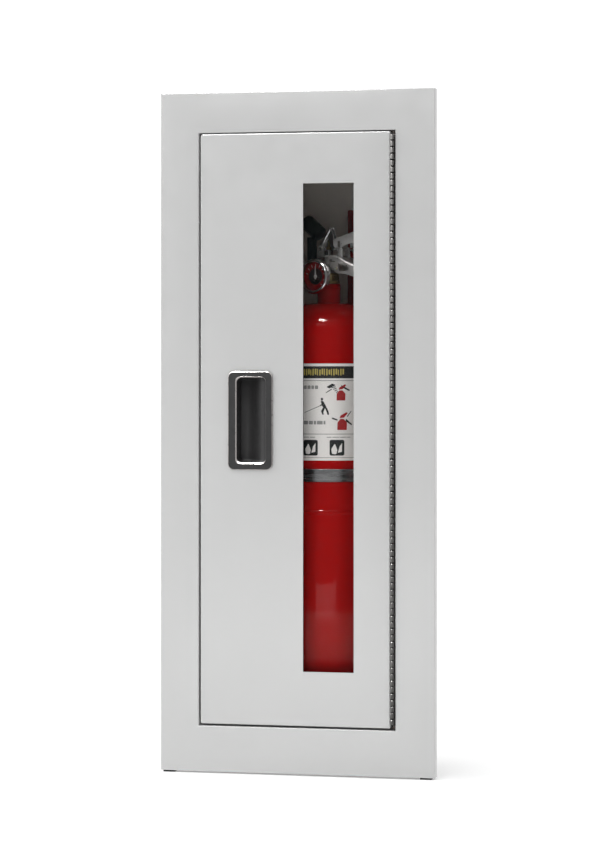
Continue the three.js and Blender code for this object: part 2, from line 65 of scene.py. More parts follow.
TRIM_LOW, TRIM_HIGH = box_mm("trim_frame")
DOOR_LOW, DOOR_HIGH = box_mm("door_panel")
PULL_LOW, PULL_HIGH = box_mm("pull_cup")
PANE_LOW, PANE_HIGH = box_mm("window_pane")
TUB_LOW, TUB_HIGH = box_mm("tub_shell")
PLATE_LOW, PLATE_HIGH = box_mm("bracket_plate")
SHELF_LOW, SHELF_HIGH = box_mm("bracket_shelf")
LABEL_LOW, LABEL_HIGH = box_mm("label_sleeve")
STRAP_LOW, STRAP_HIGH = box_mm("strap_band")

FRONT = TRIM_LOW.y
SHEET = 1.5
OPENING = (-103.0, 103.0, -304.8, 304.8)
WALL_PLANE = FRONT + 12.7
WINDOW = (PANE_LOW.x + 6, PANE_HIGH.x - 6, PANE_LOW.z + 6, PANE_HIGH.z - 6)
PULL = (PULL_LOW.x, PULL_HIGH.x, PULL_LOW.z, PULL_HIGH.z)
PULL_MOUTH = (PULL_LOW.x + 9, PULL_HIGH.x - 7, PULL_LOW.z + 7.4, PULL_HIGH.z - 6.2)

AXIS_X = (LABEL_LOW.x + LABEL_HIGH.x) / 2
AXIS_Y = -62.0
BASE_Z = box_mm("cylinder_shell")[0].z
RADIUS = 55.0
LEVER_AXIS = joint("lever_squeeze")["axis"]
VALVE_TURN = math.atan2(-LEVER_AXIS[0], LEVER_AXIS[1])
VALVE = Matrix.Translation((AXIS_X, AXIS_Y, BASE_Z)) @ Matrix.Rotation(VALVE_TURN, 4, "Z")
BOTTLE = Matrix.Translation((AXIS_X, AXIS_Y, BASE_Z))


# ---- Mesh tools ----

# Points nearer than WELD are joined, and edges shorter than NO_LENGTH are dropped. A rounded corner takes
# at most LONGEST_REACH of the side it stands on, and a corner whose half angle is over STRAIGHT is kept.
WELD = 1e-4
NO_LENGTH = 1e-5
ON_AXIS = 1e-6
SMALLEST_RADIUS = 0.05
SHARP = 35
STRAIGHT = math.radians(89)
LONGEST_REACH = 0.49


def full_turn(count):
    return [2 * math.pi * i / count for i in range(count)]


def quarter(steps=4):
    return [math.pi / 2 * i / steps for i in range(steps + 1)]


def make(name, verts, faces, matrix=None, sharp=SHARP):
    """A mesh object from points in millimetres, shaded smooth up to the sharp angle."""
    mesh = bpy.data.meshes.new(name)
    mesh.from_pydata([tuple(v) for v in verts], [], faces)
    bm = bmesh.new()
    bm.from_mesh(mesh)
    bmesh.ops.remove_doubles(bm, verts=bm.verts, dist=WELD)
    bmesh.ops.dissolve_degenerate(bm, edges=bm.edges, dist=NO_LENGTH)
    bmesh.ops.recalc_face_normals(bm, faces=bm.faces)
    if matrix is not None:
        bmesh.ops.transform(bm, matrix=matrix, verts=bm.verts)
    bmesh.ops.scale(bm, vec=(MM, MM, MM), verts=bm.verts)
    bm.to_mesh(mesh)
    bm.free()
    mesh.shade_smooth()
    mesh.set_sharp_from_angle(angle=math.radians(sharp))
    obj = bpy.data.objects.new(name, mesh)
    bpy.context.scene.collection.objects.link(obj)
    return obj


def loft(loops, ring=False, wrap=True, caps=True):
    """Verts and faces that join equal loops; ring closes the last loop on to the first."""
    count = len(loops[0])
    verts = [p for loop in loops for p in loop]
    faces = []
    steps = len(loops) if ring else len(loops) - 1
    spans = count if wrap else count - 1
    for i in range(steps):
        a = i * count
        b = ((i + 1) % len(loops)) * count
        for k in range(spans):
            m = (k + 1) % count
            faces.append((a + k, a + m, b + m, b + k))
    if caps and not ring:
        faces.append(tuple(reversed(range(count))))
        faces.append(tuple(range((len(loops) - 1) * count, len(loops) * count)))
    return verts, faces


def merge(*parts):
    verts = []
    faces = []
    for part_verts, part_faces in parts:
        base = len(verts)
        verts.extend(part_verts)
        faces.extend(tuple(i + base for i in face) for face in part_faces)
    return verts, faces


def moved(part, matrix):
    verts, faces = part
    return [matrix @ Vector(v) for v in verts], faces


def corner_arc(cx, cz, r, start, steps):
    angles = [start + a for a in quarter(steps)]
    return [(cx + r * math.cos(a), cz + r * math.sin(a)) for a in angles]


def rounded_rect(rect, radii, grow=0.0, steps=5):
    """Points round a rectangle (left, right, bottom, top), anticlockwise from the lower right corner.
    radii are for the lower right, upper right, upper left and lower left corners."""
    left, right, bottom, top = rect
    left, right, bottom, top = left - grow, right + grow, bottom - grow, top + grow
    br, tr, tl, bl = [max(r + grow, SMALLEST_RADIUS) for r in radii]
    right_angle = math.pi / 2
    points = corner_arc(right - br, bottom + br, br, -right_angle, steps)
    points += corner_arc(right - tr, top - tr, tr, 0, steps)
    points += corner_arc(left + tl, top - tl, tl, right_angle, steps)
    points += corner_arc(left + bl, bottom + bl, bl, 2 * right_angle, steps)
    return points


def at_y(points, y):
    return [(x, y, z) for x, z in points]


def rounded(points, steps=5):
    """An outline of (x, z, radius) corners with each corner turned into an arc of that radius."""
    out = []
    count = len(points)
    for i, (x, z, r) in enumerate(points):
        here = Vector((x, z))
        before = Vector(points[i - 1][:2]) - here
        after = Vector(points[(i + 1) % count][:2]) - here
        if r <= 0:
            out.append((x, z))
            continue
        half = before.angle(after) / 2
        if half > STRAIGHT:
            out.append((x, z))
            continue
        reach = min(r / math.tan(half), before.length * LONGEST_REACH, after.length * LONGEST_REACH)
        r = reach * math.tan(half)
        centre = here + (before.normalized() + after.normalized()).normalized() * (r / math.sin(half))
        start = here + before.normalized() * reach - centre
        end = here + after.normalized() * reach - centre
        sweep = start.angle_signed(end)
        for k in range(steps + 1):
            turned = start.copy()
            turned.rotate(Matrix.Rotation(-sweep * k / steps, 2))
            out.append(tuple(centre + turned))
    return out


def prism(outline, y0, y1):
    return loft([at_y(outline, y0), at_y(outline, y1)])


def revolve(profile, segments=96):
    """A profile of (radius, z) turned about Z. It starts and ends on the axis, or is closed by its ends."""
    closed = profile[0][0] > ON_AXIS
    verts = []
    rows = []
    for r, z in profile:
        if r < ON_AXIS:
            rows.append([len(verts)] * segments)
            verts.append((0, 0, z))
            continue
        rows.append(list(range(len(verts), len(verts) + segments)))
        for a in full_turn(segments):
            verts.append((r * math.cos(a), r * math.sin(a), z))
    faces = []
    for low, high in zip(rows, rows[1:] + ([rows[0]] if closed else [])):
        for k in range(segments):
            m = (k + 1) % segments
            face = [low[k], low[m], high[m], high[k]]
            kept = [v for i, v in enumerate(face) if v not in face[:i]]
            if len(kept) > 2:
                faces.append(tuple(kept))
    return verts, faces


def bar_along(points, radius, sides=12, loop=False):
    """A round bar whose centreline runs through the points."""
    path = [Vector(p) for p in points]
    count = len(path)
    rings = []
    up = Vector((0, 0, 1))
    previous = None
    for i, p in enumerate(path):
        ahead = path[(i + 1) % count] if loop or i < count - 1 else p
        behind = path[i - 1] if loop or i > 0 else p
        tangent = (ahead - behind).normalized()
        if previous is None:
            side = tangent.cross(up)
            if side.length < 1e-3:
                side = tangent.cross(Vector((0, 1, 0)))
            side.normalize()
        else:
            side = (previous - tangent * previous.dot(tangent)).normalized()
        previous = side
        other = tangent.cross(side)
        ring = []
        for a in full_turn(sides):
            ring.append(tuple(p + radius * (math.cos(a) * side + math.sin(a) * other)))
        rings.append(ring)
    return loft(rings, ring=loop)


def washer(inner, outer, low, high, segments):
    return revolve([(inner, low), (outer, low), (outer, high), (inner, high)], segments)


def folded_corner(y, web, depth, r):
    """The bend from a cheek at y into the web, from depth below the web's height, as (y, z) points."""
    return [(y + r - r * math.cos(a), web - (depth + r - r * math.sin(a))) for a in quarter()]


def channel(stations, half, thick, bend):
    """A folded sheet channel along X, half its width to each side, with cheeks that hang below the web.
    Stations are (x, web height, cheek edge height)."""
    inside_bend = max(bend - thick, 0.1)
    rings = []
    for x, web, edge in stations:
        outer = [(-half, edge), *folded_corner(-half, web, 0, bend)]
        outer += [(-y, z) for y, z in reversed(outer)]
        inner = [(-half + thick, edge), *folded_corner(-half + thick, web, thick, inside_bend)]
        inner += [(-y, z) for y, z in reversed(inner)]
        rings.append([(x, y, z) for y, z in outer + list(reversed(inner))])
    return loft(rings)


def bevel(obj, width, segments=3, angle=40):
    mod = obj.modifiers.new("edge", "BEVEL")
    mod.width = width * MM
    mod.segments = segments
    mod.limit_method = "ANGLE"
    mod.angle_limit = math.radians(angle)
    mod.harden_normals = True
    return obj


def cut(obj, *tools):
    """Cuts the tools out of obj for good, and removes them."""
    for tool in tools:
        mod = obj.modifiers.new("cut", "BOOLEAN")
        mod.operation = "DIFFERENCE"
        mod.solver = "EXACT"
        mod.object = tool
    bpy.context.view_layer.update()
    evaluated = obj.evaluated_get(bpy.context.evaluated_depsgraph_get())
    mesh = bpy.data.meshes.new_from_object(evaluated)
    obj.modifiers.clear()
    obj.data = mesh
    for tool in tools:
        bpy.data.objects.remove(tool)
    mesh.shade_smooth()
    mesh.set_sharp_from_angle(angle=math.radians(SHARP))
    return obj


def place(obj, body, slot, material, *nodes):
    """Gives a piece its material and its body, and hides the CAD nodes that it stands for. The slot is not
    used.
    """
    obj.data.materials.clear()
    obj.data.materials.append(material)
    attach(obj, body)
    if nodes:
        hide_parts(*nodes)
    return obj


# ---- Materials ----

class Shader:
    """A Principled material with helpers for the noise that varies it."""

    def __init__(self, name, color, rough, metal=0.0):
        self.material = bpy.data.materials.new(name)
        self.material.use_nodes = True
        self.tree = self.material.node_tree
        self.bsdf = self.tree.nodes["Principled BSDF"]
        self.color = color
        self.bsdf.inputs["Base Color"].default_value = (*color, 1)
        self.bsdf.inputs["Roughness"].default_value = rough
        self.bsdf.inputs["Metallic"].default_value = metal
        self.where = self.tree.nodes.new("ShaderNodeTexCoord").outputs["Object"]

    def node(self, kind, **inputs):
        made = self.tree.nodes.new(kind)
        for key, value in inputs.items():
            made.inputs[key.replace("_", " ")].default_value = value
        return made

    def link(self, a, b):
        self.tree.links.new(a, b)

    def noise(self, scale, detail=3.0, stretch=(1, 1, 1), distortion=0.0):
        mapping = self.node("ShaderNodeMapping")
        mapping.inputs["Scale"].default_value = stretch
        self.link(self.where, mapping.inputs["Vector"])
        made = self.node("ShaderNodeTexNoise", Scale=scale, Detail=detail, Distortion=distortion)
        self.link(mapping.outputs["Vector"], made.inputs["Vector"])
        return made.outputs["Fac"]

    def span(self, value, low, high, start=0.3, end=0.7):
        made = self.node("ShaderNodeMapRange")
        made.inputs["From Min"].default_value = start
        made.inputs["From Max"].default_value = end
        made.inputs["To Min"].default_value = low
        made.inputs["To Max"].default_value = high
        self.link(value, made.inputs["Value"])
        return made.outputs["Result"]

    def shade(self, value, dark, light):
        """Varies the base colour between dark and light times itself."""
        mix = self.node("ShaderNodeMix")
        mix.data_type = "RGBA"
        colors = [s for s in mix.inputs if s.type == "RGBA"]
        colors[0].default_value = (*[c * dark for c in self.color], 1)
        colors[1].default_value = (*[min(c * light, 1) for c in self.color], 1)
        self.link(value, mix.inputs["Factor"])
        out = [s for s in mix.outputs if s.type == "RGBA"][0]
        self.link(out, self.bsdf.inputs["Base Color"])
        return self

    def roughness(self, value, low, high):
        self.link(self.span(value, low, high), self.bsdf.inputs["Roughness"])
        return self

    def bump(self, value, depth, strength=1.0):
        made = self.node("ShaderNodeBump", Strength=strength, Distance=depth * MM)
        self.link(value, made.inputs["Height"])
        self.link(made.outputs["Normal"], self.bsdf.inputs["Normal"])
        return self


def powder_coat(name, color, rough):
    s = Shader(name, color, rough)
    s.shade(s.noise(9, 4), 0.97, 1.02)
    s.roughness(s.noise(60, 3), rough - 0.04, rough + 0.05)
    s.bump(s.noise(1400, 2), 0.02, 0.35)
    s.bsdf.inputs["Specular IOR Level"].default_value = 0.45
    return s.material


def enamel(name, color, rough, gloss=0.25):
    s = Shader(name, color, rough)
    s.shade(s.noise(14, 3), 0.93, 1.05)
    s.roughness(s.noise(90, 3), rough * 0.8, rough * 1.35)
    s.bump(s.noise(420, 2), 0.012, 0.3)
    s.bsdf.inputs["Specular IOR Level"].default_value = gloss
    return s.material


def rolled_metal(name, color, rough, along, grain=0.03):
    """Steel with fine streaks; along is the noise's stretch, smallest in the rolling direction."""
    s = Shader(name, color, rough, 1.0)
    streaks = s.noise(500, 4, along)
    s.shade(streaks, 0.82, 1.1)
    s.roughness(s.noise(300, 3, along), rough * 0.75, rough * 1.4)
    s.bump(streaks, grain, 0.5)
    return s.material


def plated(name, color, rough, metal=1.0):
    s = Shader(name, color, rough, metal)
    s.shade(s.noise(35, 3), 0.86, 1.04)
    s.roughness(s.noise(160, 4), rough * 0.6, rough * 1.9)
    s.bump(s.noise(130, 2), 0.03, 0.25)
    return s.material


def moulded(name, color, rough, grain, depth):
    s = Shader(name, color, rough)
    s.shade(s.noise(40, 4), 0.85, 1.15)
    s.roughness(s.noise(220, 3), rough - 0.06, rough + 0.08)
    s.bump(s.noise(grain, 3), depth, 0.6)
    s.bsdf.inputs["Specular IOR Level"].default_value = 0.3
    return s.material


def clear(name, color, alpha, rough):
    s = Shader(name, color, rough)
    s.bsdf.inputs["Alpha"].default_value = alpha
    s.roughness(s.noise(25, 2), rough, rough + 0.03)
    return s.material


def printed(name, color, rough):
    s = Shader(name, color, rough)
    s.shade(s.noise(120, 3), 0.94, 1.03)
    s.roughness(s.noise(50, 2), rough - 0.05, rough + 0.06)
    return s.material


PAINT = powder_coat("cabinet_paint", (0.465, 0.467, 0.465), 0.36)
TUB_PAINT = powder_coat("tub_paint", (0.68, 0.64, 0.6), 0.5)
HINGE_STEEL = rolled_metal("hinge_steel", (0.15, 0.146, 0.142), 0.42, (1, 1, 0.05))
STRAP_STEEL = rolled_metal("strap_steel", (0.52, 0.52, 0.53), 0.24, (0.06, 0.06, 1), 0.015)
CHROME = plated("chrome", (0.86, 0.86, 0.87), 0.09)
LEVER_STEEL = plated("lever_steel", (0.6, 0.59, 0.58), 0.38, 0.55)
GRIP_STEEL = plated("grip_steel", (0.45, 0.43, 0.42), 0.3, 0.7)
# Near-black steel for the hinge pin, which shows in the gaps between the knuckles: painted shade that keeps
# those gaps dark.
HINGE_GAP_SHADE = plated("hinge_pin_painted_shade", (0.008, 0.008, 0.008), 0.6)
BRASS = plated("brass", (0.3, 0.24, 0.12), 0.3)
VALVE_METAL = plated("valve_metal", (0.3, 0.29, 0.28), 0.25)
RED = enamel("red_enamel", (0.38, 0.0006, 0.0008), 0.045, 0.1)
BRACKET_RED = enamel("bracket_red", (0.26, 0.004, 0.008), 0.35)
CHARCOAL = moulded("charcoal_plastic", (0.02, 0.0195, 0.02), 0.5, 900, 0.03)
# Bright metal for thin rims on the pull's charcoal moulding: painted highlight lines along its edges.
RIM_HIGHLIGHT = plated("painted_rim_highlight", (0.5, 0.47, 0.46), 0.28)
BLACK = moulded("black_plastic", (0.006, 0.006, 0.006), 0.6, 700, 0.03)
RUBBER = moulded("rubber", (0.02, 0.02, 0.02), 0.8, 600, 0.05)
MAGNET = moulded("magnet", (0.04, 0.04, 0.042), 0.6, 500, 0.04)
GLASS = clear("window_glass", (0.02, 0.03, 0.03), 0.06, 0.02)
LENS = clear("gauge_glass", (0.03, 0.03, 0.03), 0.1, 0.03)
FILM = printed("label_film", (0.92, 0.89, 0.86), 0.3)
INK_BLACK = printed("ink_black", (0.012, 0.012, 0.012), 0.4)
INK_RED = printed("ink_red", (0.4, 0.01, 0.012), 0.4)
INK_YELLOW = printed("ink_yellow", (0.5, 0.4, 0.09), 0.4)
INK_GREY = printed("ink_grey", (0.3, 0.3, 0.29), 0.4)
DIAL_RED = printed("dial_red", (0.4, 0.004, 0.006), 0.25)
DIAL_DARK = printed("dial_dark", (0.03, 0.004, 0.004), 0.3)
DIAL_WHITE = printed("dial_white", (0.85, 0.83, 0.8), 0.35)


# ---- Camera ----

def build_camera():
    """It stands 2.95 m from the trim, to the right, and a little above the middle."""
    yaw = math.radians(12.7)
    distance = 2950.0
    target_x = 4.0
    height = TRIM_LOW.z + 420
    data = bpy.data.cameras.new("camera")
    data.lens = 121.93
    data.shift_y = -0.0744
    camera = bpy.data.objects.new("camera", data)
    x = target_x + distance * math.sin(yaw)
    y = FRONT - distance * math.cos(yaw)
    camera.location = Vector((x, y, height)) * MM
    camera.rotation_euler = (math.pi / 2, 0, yaw)
    bpy.context.scene.collection.objects.link(camera)
    bpy.context.scene.camera = camera


# ---- Cabinet ----

def grow(rect, by):
    left, right, bottom, top = rect
    return (left - by, right + by, bottom - by, top + by)


def square_loop(rect, y):
    left, right, bottom, top = rect
    return [(right, y, bottom), (right, y, top), (left, y, top), (left, y, bottom)]


def build_trim():
    outer = (TRIM_LOW.x, TRIM_HIGH.x, TRIM_LOW.z, TRIM_HIGH.z)
    bend = 1.1
    loops = [square_loop(outer, WALL_PLANE)]
    for a in quarter():
        loops.append(square_loop(grow(outer, -bend + bend * math.cos(a)), FRONT + bend - bend * math.sin(a)))
    for a in quarter():
        loops.append(square_loop(grow(OPENING, bend - bend * math.sin(a)), FRONT + bend - bend * math.cos(a)))
    loops.append(square_loop(OPENING, TRIM_HIGH.y))
    loops.append(square_loop(grow(OPENING, SHEET), TRIM_HIGH.y))
    loops.append(square_loop(grow(OPENING, SHEET), FRONT + SHEET))
    loops.append(square_loop(grow(outer, -SHEET), FRONT + SHEET))
    loops.append(square_loop(grow(outer, -SHEET), WALL_PLANE))
    trim = make("trim", *loft(loops, ring=True))
    place(trim, "cabinet", "cabinet_paint", PAINT, "trim_frame")


TUB_SHEET = 1.2


def build_tub():
    """The tub's outside is painted like the trim. Its inside is a liner with a lighter, warmer paint."""
    outside = (TUB_LOW.x, TUB_HIGH.x, TUB_LOW.z, TUB_HIGH.z)
    inside = grow(outside, -TUB_SHEET)
    bend = 2.0
    radii = (bend,) * 4
    loops = [at_y(rounded_rect(outside, radii), TUB_LOW.y)]
    loops.append(at_y(rounded_rect(outside, radii), TUB_HIGH.y - bend))
    for a in quarter()[1:]:
        rect = rounded_rect(outside, radii, -bend + bend * math.cos(a))
        loops.append(at_y(rect, TUB_HIGH.y - bend + bend * math.sin(a)))
    half_sheet = TUB_SHEET / 2
    back = TUB_HIGH.y - half_sheet
    inner = rounded_rect(inside, radii, half_sheet)
    body = make("tub_outer", *loft([*loops[::-1], loops[0], at_y(inner, TUB_LOW.y), at_y(inner, back)]))
    place(body, "cabinet", "cabinet_paint", PAINT, "tub_shell")
    clearance = 0.05
    liner_reach = 0.55
    front = TUB_LOW.y + 0.3
    hidden_face = rounded_rect(inside, radii, liner_reach)
    seen_face = rounded_rect(inside, radii)
    liner = make("tub_lining", *loft([
        at_y(hidden_face, back - clearance),
        at_y(hidden_face, front),
        at_y(seen_face, front),
        at_y(seen_face, TUB_HIGH.y - TUB_SHEET),
    ]))
    place(liner, "cabinet", "cabinet_paint", TUB_PAINT)


def build_feet():
    for node in ("foot_pad_left", "foot_pad_right"):
        low, high = box_mm(node)
        outline = rounded_rect((low.x, high.x, low.z, high.z), (0.4,) * 4)
        pad = bevel(make(node + "_piece", *prism(outline, low.y, high.y)), 0.25)
        place(pad, "cabinet", "rubber", RUBBER, node)


# ---- Hinge ----

HINGE_LOW, HINGE_HIGH = box_mm("hinge_leaf_frame")
HINGE_X = joint("door_hinge")["pos_m"][0] / MM
HINGE_Y = joint("door_hinge")["pos_m"][1] / MM
KNUCKLES = 91
KNUCKLE_RADIUS = 2.0
KNUCKLE_BORE = 1.1
KNUCKLE_GAP = 1.5
LEAF_SHEET = 0.9
LEAF_DEPTH = 15
LEAF_SETBACK = 0.4


def knuckle(length):
    """One rolled knuckle along Z, with eased ends and a bore."""
    r = KNUCKLE_RADIUS
    bore = KNUCKLE_BORE
    ease = 0.35
    profile = [(bore, 0), (r - ease, 0), (r, ease), (r, length - ease), (r - ease, length), (bore, length)]
    return revolve(profile, 20)


def build_leaf(name, first, side, body, node):
    """One leaf with every second knuckle from the first. Side is 1 right of the hinge and -1 left of it."""
    pitch = (HINGE_HIGH.z - HINGE_LOW.z) / KNUCKLES
    outer = HINGE_X + side * KNUCKLE_RADIUS
    x0, x1 = sorted((outer, outer - side * LEAF_SHEET))
    front = HINGE_Y + KNUCKLE_RADIUS + LEAF_SETBACK
    edge = (0.1,) * 4
    flat = rounded_rect((x0, x1, HINGE_LOW.z, HINGE_HIGH.z), edge, steps=1)
    parts = [prism(flat, front, HINGE_Y + LEAF_DEPTH)]
    for i in range(first, KNUCKLES, 2):
        z = HINGE_LOW.z + i * pitch + KNUCKLE_GAP / 2
        length = pitch - KNUCKLE_GAP
        parts.append(moved(knuckle(length), Matrix.Translation((HINGE_X, HINGE_Y, z))))
        web = rounded_rect((x0, x1, z, z + length), edge, steps=1)
        parts.append(prism(web, HINGE_Y + LEAF_SETBACK, front + 0.1))
    piece = make(name, *merge(*parts))
    place(piece, body, "hinge_steel", HINGE_STEEL, node)


# ---- Door ----

DOOR = (DOOR_LOW.x, DOOR_HIGH.x, DOOR_LOW.z, DOOR_HIGH.z)
DOOR_RADII = (0.8, 0.8, 2.6, 2.6)
MOUTH_RADII = (5.0,) * 4
FLANGE_RADII = (6.5,) * 4
FLANGE_EASE = 0.6
PULL_EDGE = 1.1


def build_door_panel():
    bend = 1.3
    lip_width = 14
    back = DOOR_HIGH.y
    loops = []
    for a in quarter(5):
        rect = rounded_rect(DOOR, DOOR_RADII, -bend + bend * math.sin(a))
        loops.append(at_y(rect, FRONT + bend - bend * math.cos(a)))
    for a in quarter(4):
        rect = rounded_rect(DOOR, DOOR_RADII, -bend + bend * math.cos(a))
        loops.append(at_y(rect, back - bend + bend * math.sin(a)))
    tight = (0.5,) * 4
    lip = rounded_rect(grow(DOOR, -lip_width), tight)
    inside = rounded_rect(grow(DOOR, -SHEET), tight)
    loops += [at_y(lip, back), at_y(lip, back - SHEET)]
    loops += [at_y(inside, back - SHEET), at_y(inside, FRONT + SHEET)]
    panel = make("door_skin", *loft(loops))
    through = (FRONT - 2, FRONT + 6)
    view = make("cut_view", *prism(rounded_rect(WINDOW, (0.4,) * 4), *through))
    hole = make("cut_pull", *prism(rounded_rect(grow(PULL_MOUTH, 2), MOUTH_RADII), *through))
    bevel(cut(panel, view, hole), 0.2, 2, 60)
    place(panel, "door", "cabinet_paint", PAINT, "door_panel")


def scoop_loops(flange_front, deepest):
    """The finger scoop: steep at the left, top and bottom, and a long ramp up to the right."""
    left, right, bottom, top = PULL_MOUTH
    ramp, wall, end = 22.0, 1.6, 2.6
    loops = []
    steps = 12
    for i in range(steps + 1):
        t = i / steps
        inset = 1 - t
        rise = t * t * (3 - 2 * t)
        rect = (left + wall * inset, right - ramp * inset, bottom + end * inset, top - end * inset)
        depth = deepest + (flange_front + PULL_EDGE - deepest) * rise
        loops.append(at_y(rounded_rect(rect, (max(MOUTH_RADII[0] * t, 1.8),) * 4), depth))
    return loops


def build_pull():
    flange_front = PULL_LOW.y
    cup_back = PULL_HIGH.y
    behind = FRONT - 0.05
    left, right, bottom, top = PULL_MOUTH
    lip = (left - PULL_EDGE, right + 0.05, bottom - PULL_EDGE, top + PULL_EDGE)
    loops = scoop_loops(flange_front, cup_back - 1.5)
    loops.append(at_y(rounded_rect(lip, MOUTH_RADII), flange_front))
    loops.append(at_y(rounded_rect(PULL, FLANGE_RADII, -FLANGE_EASE), flange_front))
    loops.append(at_y(rounded_rect(PULL, FLANGE_RADII), flange_front + FLANGE_EASE))
    loops.append(at_y(rounded_rect(PULL, FLANGE_RADII), behind))
    loops.append(at_y(rounded_rect(PULL_MOUTH, MOUTH_RADII, 1.5), behind))
    loops.append(at_y(rounded_rect(PULL_MOUTH, MOUTH_RADII, 1.5), cup_back - 1))
    loops.append(at_y(rounded_rect(PULL_MOUTH, MOUTH_RADII, 0.5), cup_back))
    cup = make("pull_cup_moulding", *loft(loops))
    place(cup, "door", "charcoal_plastic", CHARCOAL, "pull_cup")
    build_rim_highlights(lip, flange_front)


def build_rim_highlights(lip, flange_front):
    """Thin bright metal rims, just proud of the moulding, round the scoop's mouth and round the flange: painted
    highlight lines along the charcoal moulding's edges.
    """
    proud = 0.04
    outside = flange_front + FLANGE_EASE
    inner_edge = loft([
        at_y(rounded_rect(PULL_MOUTH, MOUTH_RADII, -proud), flange_front + PULL_EDGE),
        at_y(rounded_rect(lip, MOUTH_RADII, -proud), flange_front - proud),
        at_y(rounded_rect(lip, MOUTH_RADII, proud), flange_front + proud),
        at_y(rounded_rect(PULL_MOUTH, MOUTH_RADII, proud), flange_front + PULL_EDGE + proud),
    ], ring=True)
    outer_edge = loft([
        at_y(rounded_rect(PULL, FLANGE_RADII, -FLANGE_EASE), flange_front - proud),
        at_y(rounded_rect(PULL, FLANGE_RADII, proud), outside),
        at_y(rounded_rect(PULL, FLANGE_RADII, -proud), outside + proud),
        at_y(rounded_rect(PULL, FLANGE_RADII, -FLANGE_EASE - proud), flange_front + proud),
    ], ring=True)
    edges = make("pull_cup_highlight_rims", *merge(inner_edge, outer_edge))
    place(edges, "door", "charcoal_plastic", RIM_HIGHLIGHT)


# ---- Bracket and strap ----

def build_bracket():
    """The plate is wide up to its waist, with an upright above. The shelf has a front lip and a rear flange."""
    waist = STRAP_LOW.z + 40
    left = PLATE_LOW.x + 45
    outline = rounded([
        (PLATE_LOW.x, PLATE_LOW.z, 2), (PLATE_HIGH.x, PLATE_LOW.z, 2), (PLATE_HIGH.x, PLATE_HIGH.z, 2),
        (left, PLATE_HIGH.z, 2), (left, waist + 12, 8), (left - 12, waist, 8), (PLATE_LOW.x, waist, 2),
    ])
    plate = bevel(make("bracket_back", *prism(outline, PLATE_LOW.y, PLATE_HIGH.y)), 0.4)
    place(plate, "cabinet", "red_paint", BRACKET_RED, "bracket_plate")
    x0, x1 = SHELF_LOW.x, SHELF_HIGH.x
    y0, y1 = SHELF_LOW.y, SHELF_HIGH.y
    top = BASE_Z - GAP
    side = rounded([
        (y0, top + 3, 0.6), (y0, top - 2, 2.5), (y1 - 2, top - 2, 0.5), (y1 - 2, SHELF_LOW.z, 0.6),
        (y1, SHELF_LOW.z, 0.6), (y1, top, 2.5), (y0 + 1.8, top, 0.8), (y0 + 1.8, top + 3, 0.6),
    ])
    loops = [[(x, y, z) for y, z in side] for x in (x0, x1)]
    shelf = bevel(make("bracket_foot", *loft(loops)), 0.3, 2)
    place(shelf, "cabinet", "red_paint", BRACKET_RED, "bracket_shelf")


def build_strap():
    z0 = STRAP_LOW.z
    z1 = STRAP_HIGH.z
    inner = RADIUS + 1.2
    outer = inner + 1.0
    ease = 0.35
    profile = [
        (inner, z0 + ease), (inner + ease, z0), (outer - ease, z0), (outer, z0 + ease),
        (outer, z1 - ease), (outer - ease, z1), (inner + ease, z1), (inner, z1 - ease),
    ]
    ring = moved(revolve(profile, 128), Matrix.Translation((AXIS_X, AXIS_Y, 0)))
    saddle_rect = (AXIS_X - 14, AXIS_X + 14, z0 + 0.4, z1 - 0.4)
    saddle = prism(rounded_rect(saddle_rect, (1,) * 4), AXIS_Y + 56.4, STRAP_HIGH.y)
    strap = make("strap", *merge(ring, saddle))
    place(strap, "cabinet", "strap_steel", STRAP_STEEL, "strap_band")


# ---- Bottle ----

SEAM = 169.5
SHOULDER = 358.5
COLLAR = 386.5
MOUTH = 406.0
NECK = 12.5


def ellipse(radius, neck, z0, z1, steps):
    points = []
    for i in range(steps + 1):
        a = math.pi / 2 * i / steps
        points.append((neck + (radius - neck) * math.cos(a), z0 + (z1 - z0) * math.sin(a)))
    return points


def build_shell():
    base = [(0, 7), (18, 6.4), (30, 4.6), (38, 2), (42, 0.7), (45, 0.1), (47, 0), (49, 0.3)]
    for a in quarter(6):
        base.append((RADIUS - 6 + 6 * math.sin(a), 6.6 - 6 * math.cos(a)))
    bead = [(RADIUS, SEAM - 2.6)]
    for i in range(9):
        t = i / 8
        bead.append((RADIUS + 0.8 * math.sin(math.pi * t) ** 0.6, SEAM - 2.4 + 4.8 * t))
    bead.append((RADIUS, SEAM + 2.6))
    outside = base + bead + ellipse(RADIUS, NECK - 0.4, SHOULDER, COLLAR, 20)
    outside += [
        (NECK - 0.4, 400.4), (NECK, 401), (NECK + 0.1, 401.8), (NECK - 0.5, 402.6), (NECK - 0.6, MOUTH),
    ]
    wall = 1.5
    inside = [(NECK - 1.6, MOUTH), (NECK - 2, MOUTH - 0.5)]
    inside += list(reversed(ellipse(RADIUS - wall, NECK - 2, SHOULDER, COLLAR - wall, 12)))
    inside += [(RADIUS - wall, 9.5), (51, 3.6), (46, 2), (30, 6.5), (0, 9)]
    shell = make("cylinder", *revolve(outside + inside, 128), BOTTLE, 30)
    place(shell, "extinguisher", "red_paint", RED, "cylinder_shell")


# The label: prints are thin films wrapped on the sleeve. u is millimetres round the bottle to the right
# of the print's middle, which is LABEL_CENTRE to the right of the bottle's foremost line, and v is
# millimetres up from the label's lower edge.
LABEL_Z = LABEL_LOW.z - BASE_Z
LABEL_TALL = LABEL_HIGH.z - LABEL_LOW.z
FILM_RADIUS = RADIUS + 0.45
LABEL_CENTRE = 10.0
SQUARES = (-52, -25.2, 2.4, 30)
INK_TOP = 0.07
INK_BASE = 0.01


def wrap(u, v, radius):
    a = (u + LABEL_CENTRE) / FILM_RADIUS - math.pi / 2
    return (radius * math.cos(a), radius * math.sin(a), LABEL_Z + v)


